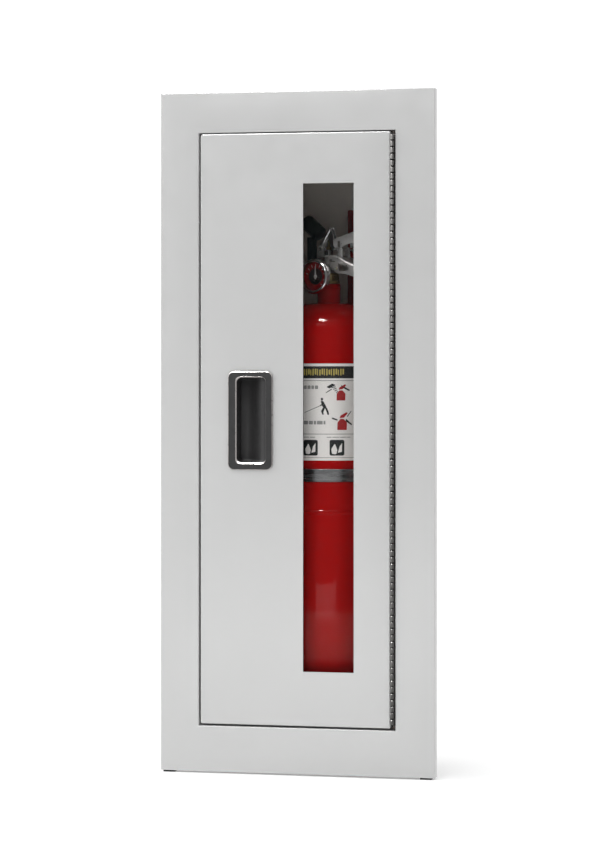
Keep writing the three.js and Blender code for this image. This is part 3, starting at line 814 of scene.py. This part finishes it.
def ink(outline, step=1.5):
    """A closed print of an outline in (u, v): both faces follow the film."""
    bm = bmesh.new()
    ring = [bm.verts.new((u, 0, v)) for u, v in outline]
    bm.faces.new(ring)
    bmesh.ops.triangulate(bm, faces=bm.faces)
    for _ in range(6):
        long = [e for e in bm.edges if abs(e.verts[0].co.x - e.verts[1].co.x) > step]
        if not long:
            break
        bmesh.ops.subdivide_edges(bm, edges=long, cuts=1)
        bmesh.ops.triangulate(bm, faces=[f for f in bm.faces if len(f.verts) > 3])
    bm.verts.index_update()
    count = len(bm.verts)
    flat = [v.co.copy() for v in bm.verts]
    tops = [wrap(p.x, p.z, FILM_RADIUS + INK_TOP) for p in flat]
    bottoms = [wrap(p.x, p.z, FILM_RADIUS + INK_BASE) for p in flat]
    faces = [tuple(v.index for v in f.verts) for f in bm.faces]
    sides = []
    for e in bm.edges:
        if len(e.link_faces) == 1:
            a, b = e.verts[0].index, e.verts[1].index
            sides.append((a, b, b + count, a + count))
    lower = [tuple(reversed([i + count for i in f])) for f in faces]
    bm.free()
    return tops + bottoms, faces + lower + sides


def block(u0, u1, v0, v1, r=0.0):
    return ink(rounded_rect((u0, u1, v0, v1), (r,) * 4, steps=2))


def print_piece(name, material, *parts):
    piece = make(name, *merge(*parts), BOTTLE, 60)
    place(piece, "extinguisher", "label_film", material)


def build_label():
    low = LABEL_Z
    high = LABEL_Z + LABEL_TALL
    inner = RADIUS + 0.05
    profile = [(inner, low), (FILM_RADIUS - 0.1, low), (FILM_RADIUS, low + 0.1), (FILM_RADIUS, high - 0.1),
               (FILM_RADIUS - 0.1, high), (inner, high)]
    film = make("label", *revolve(profile, 128), BOTTLE)
    place(film, "extinguisher", "label_film", FILM, "label_sleeve")
    band = block(-75, 75, 84.6, 97)
    rules = [block(-75, 75, v, v + h) for v, h in ((2.8, 0.35), (27, 0.45), (81.9, 0.45))]
    squares = [block(u, u + 15.4, 5.1, 21.3, 1.6) for u in SQUARES]
    print_piece("label_black", INK_BLACK, band, *rules, *squares, *operator(), *holding_hands())
    bars = []
    for i in range(33):
        u = -61 + i * 2.4
        low_end = 87.6 + 0.9 * (i * 5 % 3 == 1)
        bars.append(block(u, u + 1.1 + 0.3 * (i % 3), low_end, 94.4 - 0.8 * (i % 4 == 2), 0.4))
    lifted = [raise_print(bar) for bar in bars]
    print_piece("label_yellow", INK_YELLOW, *lifted)
    tanks = (*tank_icon(14.2, 61.8, 1.0), *tank_icon(15.4, 31.4, 1.1), *tank_icon(-40, 60, 1.0))
    print_piece("label_red", INK_RED, *tanks)
    print_piece("label_grey", INK_GREY, *text_strips())
    marks = [raise_print(mark) for u in SQUARES for mark in hazard_marks(u)]
    print_piece("label_marks", FILM, *marks)


def operator():
    """A plain standing figure that leans back from a hose line."""
    head = [(-5.4 + 1.3 * math.cos(a), 63.2 + 1.4 * math.sin(a)) for a in full_turn(12)]
    trunk = rounded([
        (-6.8, 61.6, 0.5), (-4.2, 61.2, 0.6), (-0.8, 55.4, 1), (-2.6, 53.2, 0.8), (-5.6, 56.4, 0.8),
    ])
    front_leg = [(-3.8, 55.6), (-2.2, 54), (-4.4, 50.6), (-3.4, 47.4), (-5, 47.2), (-6.4, 50.8)]
    back_leg = [(-2.6, 54.6), (-0.4, 54.6), (1.4, 50.4), (2, 47), (0.4, 47), (-0.6, 50)]
    arm = [(-7.6, 57), (-4.4, 58.8), (-4.2, 57.6), (-7.4, 55.8)]
    hose = [(-24.3, 49), (-7.6, 55.9), (-7.6, 56.5), (-24.3, 49.5)]
    return [ink(outline) for outline in (head, trunk, front_leg, back_leg, arm, hose)]


def holding_hands():
    """Plain wedge shapes for the hands at the two pictured extinguishers."""
    upper = rounded([(-1, 75.6, 0.4), (5, 79.2, 0.8), (9.4, 77.6, 0.6), (6.2, 76.4, 0.5), (2.4, 74.2, 0.5)])
    fingers = [
        [
            (4.2 + 1.6 * k, 75.4 - 1.7 * k), (8.6 + 0.8 * k, 76.4 - 1.6 * k),
            (8.8 + 0.8 * k, 75.5 - 1.6 * k), (4.6 + 1.6 * k, 74.6 - 1.7 * k),
        ]
        for k in range(4)
    ]
    thumb = rounded([(-1.6, 70, 0.2), (4.6, 74, 0.4), (4.8, 73, 0.3), (-1.2, 69.4, 0.2)])
    lever = [(14.6, 77.6), (23.8, 72.8), (23.2, 71.4), (14.4, 75.6)]
    side = [(19.6, 43), (26.4, 37.4), (25.6, 36.2), (19.2, 40.4)]
    stroke = [(20.4, 45.4), (25, 51), (25.6, 50.6), (21.4, 45)]
    nozzle = [(5, 44.4), (10.6, 42.4), (10.4, 41), (4.8, 42.8)]
    return [ink(outline) for outline in (upper, *fingers, thumb, lever, side, stroke, nozzle)]


def tank_icon(u, v, k):
    """A plain picture of a tank with a slanted grip on top; k scales it."""
    body = rounded([
        (u - 4.6 * k, v, 0.6), (u + 4.6 * k, v, 0.6), (u + 4.8 * k, v + 7 * k, 1),
        (u + 1.6 * k, v + 10.4 * k, 0.6), (u - 1.6 * k, v + 10.4 * k, 0.6), (u - 4.4 * k, v + 7 * k, 1),
    ])
    grip = rounded([
        (u - 2.6 * k, v + 11 * k, 0.4), (u + 1.8 * k, v + 11.6 * k, 0.4), (u + 5.8 * k, v + 16 * k, 0.4),
        (u + 4 * k, v + 16.6 * k, 0.4), (u - 1.4 * k, v + 13.6 * k, 0.6),
    ])
    return [ink(body), ink(grip)]


def hazard_marks(u):
    """Pale generic shapes inside a black square whose left edge is at u."""
    flame = rounded([
        (u + 2.4, 7, 1), (u + 7, 6.4, 1.6), (u + 8, 11, 1), (u + 5.4, 17.6, 0.5), (u + 1.8, 12, 1),
    ])
    sheet = [(u + 8.6, 8), (u + 12.8, 9), (u + 13, 18), (u + 10.4, 14.6)]
    return [ink(flame), ink(sheet)]


def text_strips():
    """Short grey bars that stand for lines of small print."""
    strips = []
    rows = (
        (-25, 73.6, 3.6, (3.2, 3.4, 2.8, 3.4)),
        (-25, 37.2, 3.6, (4.8, 4.4, 2.4, 6, 2)),
        (-25, 23.6, 0.8, (6, 5.4)),
        (-0.6, 23.6, 0.8, (5, 7, 6.4, 4)),
        (-62, 70, 2.2, (6, 8, 5)),
        (-62, 64, 2.2, (9, 4, 6)),
        (-62, 58, 2.2, (5, 7)),
        (34, 72, 2.2, (7, 9)),
        (34, 66, 2.2, (5, 8)),
    )
    for u, v, tall, widths in rows:
        for wide in widths:
            strips.append(block(u, u + wide, v, v + tall, min(0.5, tall / 3)))
            u += wide + 0.9
    return strips


def raise_print(part, by=0.06):
    """The same print a little further out, so that it lies on another print."""
    verts, faces = part
    lifted = []
    for x, y, z in verts:
        r = math.hypot(x, y)
        lifted.append((x * (r + by) / r, y * (r + by) / r, z))
    return lifted, faces


# ---- Valve ----

GAUGE_Z = 413.6
PIVOT = (-7.6, 443.0)
PIN = (19.8, 441.6)
GRIP_END = 84.0


def turned_y(part, x=0.0, z=0.0):
    """A Z-axis part laid along -Y."""
    return moved(part, Matrix.Translation((x, 0, z)) @ Matrix.Rotation(math.pi / 2, 4, "X"))


def turned_x(part, z):
    return moved(part, Matrix.Translation((0, 0, z)) @ Matrix.Rotation(math.pi / 2, 4, "Y"))


def build_valve_body():
    column = revolve([
        (0, 378), (8.2, 378), (8.6, 378.4), (8.6, 406), (8, 417), (10.2, 417.4), (10.6, 418), (10.6, 420.4),
        (10.2, 421), (9.4, 421.6), (9.4, 433.4), (8.9, 434), (4.2, 434), (4.2, 441.6), (3.9, 442), (3.4, 442),
        (3.4, 438), (0, 438),
    ], 48)
    outlet = turned_x(revolve([(0, -14.5), (5.1, -14.5), (5.5, -14.1), (5.5, 0), (0, 0)], 32), 428)
    body = make("valve", *merge(column, outlet), VALVE)
    place(body, "extinguisher", "brass", VALVE_METAL, "valve_body")
    flange = revolve([(8.7, 406.4), (11, 406.4), (11.4, 406.8), (11.4, 409), (11, 409.4), (8.7, 409.4)], 48)
    ring = washer(8.5, 9.6, 416.2, 417.2, 48)
    boss = [(8, 0), (5, 8), (5, 15), (6.2, 15.4), (6.2, 18.4), (0, 18.4), (0, 8)]
    port = turned_y(revolve(boss, 6), 0, GAUGE_Z)
    nut = rounded([
        (11.2 * math.cos(a), 11.2 * math.sin(a), 1.4) for a in [math.pi / 3 * i + 0.35 for i in range(6)]
    ], 4)
    levels = ((9.5, 0.94), (10, 1), (415.8 - 400, 1), (416.3 - 400, 0.94))
    loops = [[(x * k, y * k, z + 400) for x, y in nut] for z, k in levels]
    collar = make("valve_nut", *merge(flange, ring, port, loft(loops)), VALVE)
    place(collar, "extinguisher", "brass", BRASS)


HANDLE_STATIONS = [
    (7.6, 436, 430.4), (9.4, 436, 426), (12, 436, 421.4), (15.6, 435.9, 418.8), (18.4, 435.3, 417.4),
    (21, 434.2, 416.9), (24.6, 432.5, 416.6), (29, 430.2, 416), (34, 427.9, 414.8), (41, 425.4, 412.6),
    (50, 423.1, 410.8), (60, 421.6, 409.6), (72, 420.2, 409), (82.4, 419.4, 408.6), (GRIP_END, 418.2, 409.8),
]
LEVER_STATIONS = [
    (12.7, 453, 446.4), (13.6, 453.3, 444.8), (15.4, 453.8, 443.9), (18.6, 454.7, 443.5),
    (21.6, 455.6, 443.4), (24, 456.2, 444.3), (26.6, 457, 445.5), (30, 457.9, 446.7),
    (34, 459.1, 447.6), (38, 460.2, 448),
    (44, 461.4, 448.8), (54, 462.9, 451), (66, 464.8, 454.1), (76, 466.3, 456.6), (82.4, 467.3, 458.3),
    (GRIP_END, 466.4, 460),
]


def build_handle():
    grip = make("carry_grip", *channel(HANDLE_STATIONS, 12, 1.6, 2.4), VALVE)
    outline = rounded([
        (20, 427.6, 1.2), (33, 423.4, 1.4), (35, 420.8, 1), (31.4, 418.9, 1.5), (21.6, 419.2, 1.5),
    ])
    slot = make("cut_slot", *prism(outline, -20, 20), VALVE)
    bevel(cut(grip, slot), 0.35, 3)
    place(grip, "extinguisher", "chrome", GRIP_STEEL, "carry_handle")
    plate = loft([
        [(9.2 * math.cos(a), 9.2 * math.sin(a), z) for a in full_turn(64)]
        for z in (434.4, 436)
    ])
    tongue = loft([
        [(x, y, z) for x, y in ((-12, -4.8), (9, -4.8), (9, 4.8), (-12, 4.8))] for z in (434.5, 435.9)
    ])
    ear = rounded([
        (-12, 434.5, 0), (-3.8, 434.5, 0), (-4.2, 443, 2), (-5.6, 446.6, 2.4), (-9.6, 446.6, 2.4),
        (-11.4, 443, 2),
    ])
    pin_ear = rounded([(17, 433.6, 0), (22.6, 432.8, 0), (22.6, 444.4, 2.6), (17, 444.4, 2.6)])
    ears = [prism(ear, y, y + 1.4) for y in (-4.8, 3.4)] + [prism(pin_ear, y, y + 1.4) for y in (-7, 5.6)]
    saddle = bevel(make("carry_saddle", *merge(plate, tongue, *ears), VALVE), 0.25, 2)
    place(saddle, "extinguisher", "chrome", LEVER_STEEL)


def build_lever():
    arm = make("squeeze_lever", *channel(LEVER_STATIONS, 9.8, 1.6, 2.6), VALVE)
    x, z = PIN
    outline = rounded([
        (x - 2.2, z - 6, 0), (x + 1.5, z - 6, 0), (x + 1.5, z + 9.2, 1.8), (x - 2.2, z + 9.2, 1.8),
    ], 6)
    notch = make("cut_notch", *prism(outline, -20, 20), VALVE)
    bevel(cut(arm, notch), 0.3, 3)
    place(arm, "lever", "chrome", LEVER_STEEL, "operating_lever")
    build_lever_fork()


def build_lever_fork():
    """The lever's rear: two pointed plates from the pivot, joined to the arm by a widening neck."""
    outer = rounded([
        (-11.2, 442.6, 2), (-10.2, 439.2, 3), (-6.4, 438.9, 2.4), (-4.9, 441.6, 1.2), (0.8, 454.5, 0.5),
        (6.2, 441.6, 0.8), (9.4, 441.4, 1), (10.4, 443.4, 1.2), (9, 451.4, 4), (5.1, 465.2, 1.1),
        (2.6, 465.2, 1.1), (-10.4, 446, 3),
    ], 6)
    plates = [prism(outer, y, y + 1.2) for y in (-3, 1.8)]
    peak = prism(rounded([(2.6, 462.4, 0.6), (5, 462.4, 0.6), (4.9, 465, 0.8), (2.9, 465, 0.8)]), -2, 2)
    presser = prism(rounded([(-4, 452.3, 0.5), (3, 452.3, 0.5), (3, 454.8, 0.5), (-4, 454.8, 0.5)]), -2, 2)
    neck = loft([
        [(x, y, z) for y, z in ((-h, w - 1.6), (-h, w), (h, w), (h, w - 1.6))]
        for x, w, h in ((7.4, 451.5, 3), (9, 452, 3.4), (11.4, 452.7, 6.4), (13.4, 453.2, 9))
    ])
    crest = [(3.8, -2.8, 463.6), (0.6, -2.9, 458.6), (-3.4, -2.9, 452.2), (-7.6, -2.8, 445.4)]
    rib = bar_along(crest, 1.2, 14)
    rear = bevel(make("lever_fork", *merge(*plates, peak, presser, neck, rib), VALVE), 0.35, 3)
    place(rear, "lever", "chrome", CHROME)


def build_pins():
    rivet = turned_y(revolve([
        (0, -6.3), (1.2, -6.3), (2.4, -5.8), (2.8, -5.2), (2.8, -5), (1.4, -5),
        (1.4, 5), (2.3, 5), (2.3, 5.3), (1.9, 5.9), (1, 6.2), (0, 6.2),
    ], 32), *PIVOT)
    pivot = make("lever_rivet", *rivet, VALVE)
    place(pivot, "extinguisher", "chrome", CHROME, "lever_pivot_pin")
    x, z = PIN
    eye_y = 17.5
    eye = 2.4
    tail = 2.6 - eye_y
    shank = turned_y(revolve([(0, 13), (0.8, 13), (1.1, 12.7), (1.1, tail), (0, tail)], 20), x, z)
    ring = [(x, eye_y + eye * math.cos(a), z + eye * math.sin(a)) for a in full_turn(24)]
    pin = make("locking_pin", *merge(shank, bar_along(ring, 0.7, 10, loop=True)), VALVE)
    place(pin, "pin", "chrome", CHROME, "safety_pin")
    radius = 11.0
    hoop = [
        (x + radius * math.sin(a), eye_y, z - radius + radius * math.cos(a))
        for a in full_turn(64)
    ]
    pull = make("pull_hoop", *bar_along(hoop, 0.8, 12, loop=True), VALVE)
    place(pull, "ring", "chrome", CHROME, "pull_ring")


GAUGE_BACK = 19.0
GAUGE_FRONT = 29.0
GAUGE_RADIUS = 18.2


def at_gauge(part):
    return turned_y(part, 0, GAUGE_Z)


def build_gauge_case():
    back, front, radius = GAUGE_BACK, GAUGE_FRONT, GAUGE_RADIUS
    can = at_gauge(revolve([
        (0, back), (radius - 5, back), (radius - 2.4, back + 0.8), (radius - 1.5, back + 2.4),
        (radius - 1.5, front - 2), (radius - 2.6, front - 2), (radius - 2.6, back + 3), (0, back + 3),
    ], 96))
    place(make("gauge_can", *can, VALVE), "extinguisher", "brass", BRASS, "gauge_case")
    rim = at_gauge(revolve([
        (radius - 1.3, back + 3), (radius - 0.5, back + 3), (radius, back + 3.6), (radius, front - 2.4),
        (radius - 0.3, front - 1.2), (radius - 1.1, front - 0.3), (radius - 2, front),
        (radius - 3, front - 0.4), (radius - 3.3, front - 1.2), (radius - 3.2, front - 1.7),
        (radius - 1.3, front - 1.7),
    ], 96))
    place(make("gauge_rim", *rim, VALVE, 50), "extinguisher", "chrome", CHROME, "gauge_bezel")


def build_dial():
    back = GAUGE_BACK
    dial = at_gauge(washer(1.1, GAUGE_RADIUS - 3, back + 3.3, back + 4.2, 96))
    place(make("dial", *dial, VALVE), "extinguisher", "red_dial", DIAL_RED, "gauge_dial")
    centre = at_gauge(washer(1.2, 8.6, back + 4.22, back + 4.32, 64))
    place(make("dial_centre", *centre, VALVE), "extinguisher", "red_dial", DIAL_DARK)
    ticks = []
    for degrees in (-75, -50, -25, 0, 25, 50, 75, 110, 140):
        tick = prism(rounded_rect((-0.35, 0.35, 10.2, 13), (0.1,) * 4, steps=1), -back - 4.34, -back - 4.22)
        turn = Matrix.Translation((0, 0, GAUGE_Z)) @ Matrix.Rotation(math.radians(degrees), 4, "Y")
        ticks.append(moved(tick, turn))
    place(make("dial_ticks", *merge(*ticks), VALVE), "extinguisher", "red_dial", DIAL_WHITE)


def build_needle_and_lens():
    back, front, radius = GAUGE_BACK, GAUGE_FRONT, GAUGE_RADIUS
    hub = at_gauge(revolve([
        (0, back + 3.1), (0.7, back + 3.1), (0.7, back + 4.6), (1.9, back + 4.6), (1.9, back + 5.5),
        (1.3, back + 5.8), (0, back + 5.8),
    ], 24))
    outline = rounded([(-0.9, -3, 0.5), (0.9, -3, 0.5), (0.35, 10.5, 0.2), (-0.35, 10.5, 0.2)])
    hand = prism(outline, -back - 5.4, -back - 4.8)
    needle = merge(hub, moved(hand, Matrix.Translation((0, 0, GAUGE_Z))))
    place(make("needle", *needle, VALVE), "needle", "white_plastic", DIAL_WHITE, "gauge_needle")
    dome = at_gauge(revolve([
        (0, front - 3.2), (radius - 3.5, front - 3.2), (radius - 3.5, front - 2.4), (radius - 6, front - 1.9),
        (8, front - 1.6), (0, front - 1.5),
    ], 96))
    place(make("lens", *dome, VALVE), "extinguisher", "clear_glass", LENS, "gauge_lens")


def build_nozzle():
    line = Matrix.Translation((1.8, 0, 448.8)) @ Matrix.Rotation(math.radians(-53), 4, "Y")
    profile = [(0, 15), (6.6, 15), (7.2, 15.4), (7.9, 16.4), (8.1, 17)]
    for i in range(4):
        z = 19 + i * 1.6
        profile += [(8.1, z), (7.8, z + 0.3), (7.8, z + 0.7), (8.1, z + 1)]
    profile += [(8.1, 38.8), (7.8, 39.5), (7.2, 39.8), (6.4, 39.7), (6, 39.2), (3.2, 30), (3.2, 22), (0, 22)]
    horn = make("nozzle", *moved(revolve(profile, 64), line), VALVE)
    place(horn, "extinguisher", "black_plastic", BLACK, "nozzle_horn")
    run = turned_x(revolve([(0, -22), (5.5, -22), (5.5, -15.2), (5.1, -14.8), (0, -14.8)], 32), 428)
    upright = revolve([(0, 423.4), (4.2, 423.6), (5, 424.6), (5, 455.6), (0, 455.6)], 32)
    riser = moved(upright, Matrix.Translation((-22, 0, 0)))
    elbow = make("elbow", *merge(run, riser), VALVE)
    place(elbow, "extinguisher", "black_plastic", BLACK, "nozzle_elbow")


# ---- CAD nodes that stay, with their materials ----

KEPT = (
    (MAGNET, "catch_magnet"),
    (HINGE_STEEL, "catch_plate", "hinge_shim", "pull_clamp", "window_retainer"),
    (HINGE_GAP_SHADE, "hinge_pin"),
    # The hinge pin's near-black colour is painted shade for the gaps between the knuckles.
    (RUBBER, "window_gasket", "neck_seal"),
    (GLASS, "window_pane"),
    (STRAP_STEEL, "bracket_screw_1", "bracket_screw_2", "bracket_screw_3"),
    (STRAP_STEEL, "strap_latch", "strap_latch_post", "valve_spring"),
    (BLACK, "siphon_tube"),
    (BRASS, "valve_stem"),
)


def dress_kept_nodes():
    for material, *names in KEPT:
        for name in names:
            node = frame["nodes"][name]
            node.data.materials.clear()
            node.data.materials.append(material)


# ---- Floor and lights ----

def build_floor():
    pad_height = 1.75
    z = TRIM_LOW.z - pad_height
    s = Shader("studio_floor", (0.9, 0.9, 0.9), 0.7)
    s.shade(s.noise(2, 2), 0.995, 1.005)
    s.bsdf.inputs["Emission Color"].default_value = (1, 1, 1, 1)
    s.bsdf.inputs["Emission Strength"].default_value = 0.12
    s.bsdf.inputs["Specular IOR Level"].default_value = 0.1
    reach = 20000
    corners = [(-reach, -reach, z), (reach, -reach, z), (reach, reach, z), (-reach, reach, z)]
    floor = make("floor", corners, [(0, 1, 2, 3)])
    floor.data.materials.append(s.material)
    floor.visible_glossy = False


def area_light(name, location, target, size, power):
    data = bpy.data.lights.new(name, "AREA")
    data.shape = "RECTANGLE"
    data.size = size[0]
    data.size_y = size[1]
    data.energy = power
    light = bpy.data.objects.new(name, data)
    light.location = location
    light.rotation_euler = (Vector(target) - Vector(location)).to_track_quat("-Z", "Y").to_euler()
    bpy.context.scene.collection.objects.link(light)
    return light


def build_world():
    """Bright behind, above and below the cabinet, less so beside it, and dim in front of it."""
    steepness = 0.9
    dim, bright = 0.25, 1.15
    world = bpy.data.worlds.new("studio")
    bpy.context.scene.world = world
    world.use_nodes = True
    tree = world.node_tree
    background = tree.nodes["Background"]
    background.inputs["Color"].default_value = (1, 1, 1, 1)
    where = tree.nodes.new("ShaderNodeTexCoord")
    split = tree.nodes.new("ShaderNodeSeparateXYZ")
    steep = tree.nodes.new("ShaderNodeMath")
    steep.operation = "ABSOLUTE"
    along = tree.nodes.new("ShaderNodeMath")
    along.operation = "MULTIPLY_ADD"
    along.inputs[1].default_value = steepness
    span = tree.nodes.new("ShaderNodeMapRange")
    tree.links.new(where.outputs["Generated"], split.inputs["Vector"])
    tree.links.new(split.outputs["Z"], steep.inputs[0])
    tree.links.new(steep.outputs["Value"], along.inputs[0])
    tree.links.new(split.outputs["Y"], along.inputs[2])
    tree.links.new(along.outputs["Value"], span.inputs["Value"])
    span.inputs["From Min"].default_value = -0.6
    span.inputs["From Max"].default_value = 0.3
    span.inputs["To Min"].default_value = dim
    span.inputs["To Max"].default_value = bright
    tree.links.new(span.outputs["Result"], background.inputs["Strength"])


def build_lights():
    """The two cards show only in glossy surfaces, and the low fill only on matt ones."""
    build_world()
    area_light("key", (-0.5, -3.2, 1.75), (0, -0.1, 0), (1.6, 0.4), 21)
    area_light("left_strip", (-1.8, -0.5, 0.5), (0, -0.14, 0.2), (0.9, 1.8), 16)
    low_fill = area_light("low_fill", (0, -0.55, -0.3), (0, -0.14, -0.25), (1.2, 0.05), 0.75)
    low_fill.visible_glossy = False
    shoulder = area_light("shoulder_card", (-0.35, -0.44, 1.0), (0.02, -0.11, 0.115), (1.2, 0.25), 100)
    low = area_light("low_card", (0.02, -0.62, -0.257), (0.02, -0.14, -0.257), (0.55, 0.058), 0.3)
    for card in (shoulder, low):
        card.visible_diffuse = False
    for lamp in (low_fill, shoulder, low):
        lamp.visible_camera = False
    bpy.context.scene.view_settings.view_transform = "Standard"


# ---- Assembly ----

build_camera()
build_trim()
build_tub()
build_feet()
build_leaf("hinge_frame_side", 0, 1, "cabinet", "hinge_leaf_frame")
build_leaf("hinge_door_side", 1, -1, "door", "hinge_leaf_door")
build_door_panel()
build_pull()
build_bracket()
build_strap()
build_shell()
build_label()
build_valve_body()
build_handle()
build_lever()
build_pins()
build_gauge_case()
build_dial()
build_needle_and_lens()
build_nozzle()
dress_kept_nodes()
build_floor()
build_lights()
